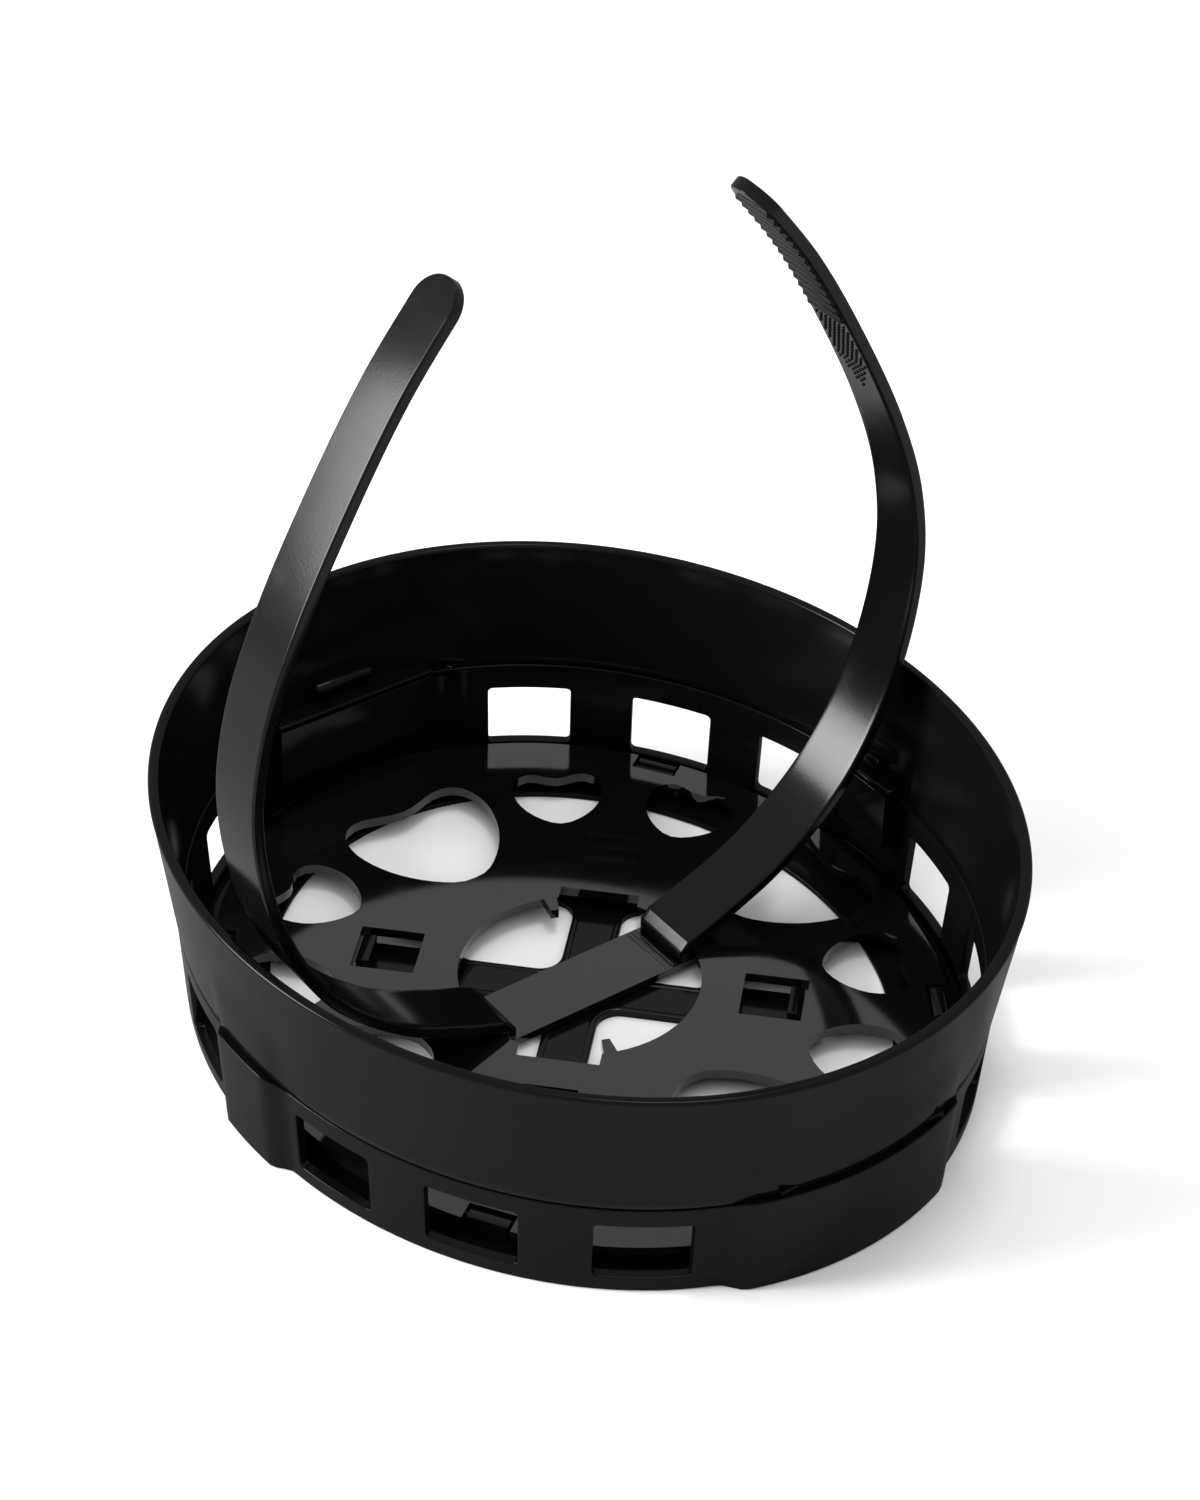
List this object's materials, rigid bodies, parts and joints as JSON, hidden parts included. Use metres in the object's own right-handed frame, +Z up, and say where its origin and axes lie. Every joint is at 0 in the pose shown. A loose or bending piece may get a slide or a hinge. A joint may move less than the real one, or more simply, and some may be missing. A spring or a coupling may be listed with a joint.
{
  "type": "hair dryer diffuser",
  "caption": "Oval clip-on hair dryer diffuser: windowed bowl, vented deck and a twist-lock bar with springy arms that grip the dryer.",
  "frame": {"origin": "centre of the flat foot that the bowl stands on", "axes": "+Z up out of the bowl, +X along the long axis of the oval, +Y along the short axis, in the plane of the arms"},
  "size_m": [0.1756, 0.1532, 0.1649],
  "materials": {
    "satin_black": "satin moulded black plastic",
    "gloss_black": "glossy moulded black plastic",
    "clip_black": "plain moulded black plastic"
  },
  "bodies": {
    "bowl": {"upper_ring": "satin_black", "base_shell": "satin_black", "deck_plate": "gloss_black", "retainer_plate": "clip_black"},
    "yoke": {"yoke_bar": "gloss_black"},
    "arm_r": {"arm_right": "satin_black"},
    "arm_l": {"arm_left": "satin_black"},
    "ring_catch_1": {"ring_clip_1": "clip_black"},
    "ring_catch_2": {"ring_clip_2": "clip_black"},
    "ring_catch_3": {"ring_clip_3": "clip_black"},
    "ring_catch_4": {"ring_clip_4": "clip_black"},
    "base_hook_1": {"base_clip_1": "clip_black"},
    "base_hook_2": {"base_clip_2": "clip_black"},
    "base_hook_3": {"base_clip_3": "clip_black"},
    "base_hook_4": {"base_clip_4": "clip_black"},
    "retainer_hook_1": {"retainer_clip_1": "clip_black"},
    "retainer_hook_2": {"retainer_clip_2": "clip_black"}
  },
  "joints": [
    {"name": "yoke_twist", "type": "hinge", "parent": "bowl", "child": "yoke", "pos_m": [0, 0, 0.003], "axis": [0, 0, 1], "range_deg": [0, 45]},
    {"name": "arm_right_flex", "type": "hinge", "parent": "yoke", "child": "arm_r", "pos_m": [0, 0.0203, 0.0035], "axis": [-1, 0, 0], "range_deg": [-3, 4], "stiffness_Nm_per_rad": 0.6},
    {"name": "arm_left_flex", "type": "hinge", "parent": "yoke", "child": "arm_l", "pos_m": [0, -0.0203, 0.0035], "axis": [1, 0, 0], "range_deg": [-3, 4], "stiffness_Nm_per_rad": 0.6},
    {"name": "ring_clip_1_flex", "type": "hinge", "parent": "bowl", "child": "ring_catch_1", "pos_m": [0.0784, 0, 0.022], "axis": [0, 1, 0], "range_deg": [0, 6], "stiffness_Nm_per_rad": 0.3},
    {"name": "ring_clip_2_flex", "type": "hinge", "parent": "bowl", "child": "ring_catch_2", "pos_m": [0, 0.0695, 0.022], "axis": [-1, 0, 0], "range_deg": [0, 6], "stiffness_Nm_per_rad": 0.3},
    {"name": "ring_clip_3_flex", "type": "hinge", "parent": "bowl", "child": "ring_catch_3", "pos_m": [-0.0784, 0, 0.022], "axis": [0, -1, 0], "range_deg": [0, 6], "stiffness_Nm_per_rad": 0.3},
    {"name": "ring_clip_4_flex", "type": "hinge", "parent": "bowl", "child": "ring_catch_4", "pos_m": [0, -0.0695, 0.022], "axis": [1, 0, 0], "range_deg": [0, 6], "stiffness_Nm_per_rad": 0.3},
    {"name": "base_clip_1_flex", "type": "hinge", "parent": "bowl", "child": "base_hook_1", "pos_m": [0.04509, 0.0521, 0.0015], "axis": [-0.8367, 0.5477, 0], "range_deg": [0, 10], "stiffness_Nm_per_rad": 0.1},
    {"name": "base_clip_2_flex", "type": "hinge", "parent": "bowl", "child": "base_hook_2", "pos_m": [-0.04509, 0.0521, 0.0015], "axis": [-0.8367, -0.5477, 0], "range_deg": [0, 10], "stiffness_Nm_per_rad": 0.1},
    {"name": "base_clip_3_flex", "type": "hinge", "parent": "bowl", "child": "base_hook_3", "pos_m": [-0.04509, -0.0521, 0.0015], "axis": [0.8367, -0.5477, 0], "range_deg": [0, 10], "stiffness_Nm_per_rad": 0.1},
    {"name": "base_clip_4_flex", "type": "hinge", "parent": "bowl", "child": "base_hook_4", "pos_m": [0.04509, -0.0521, 0.0015], "axis": [0.8367, 0.5477, 0], "range_deg": [0, 10], "stiffness_Nm_per_rad": 0.1},
    {"name": "retainer_clip_1_flex", "type": "hinge", "parent": "bowl", "child": "retainer_hook_1", "pos_m": [0.02892, 0.02892, 0.0015], "axis": [0.7071, -0.7071, 0], "range_deg": [0, 10], "stiffness_Nm_per_rad": 0.1},
    {"name": "retainer_clip_2_flex", "type": "hinge", "parent": "bowl", "child": "retainer_hook_2", "pos_m": [-0.02892, -0.02892, 0.0015], "axis": [-0.7071, 0.7071, 0], "range_deg": [0, 10], "stiffness_Nm_per_rad": 0.1}
  ]
}
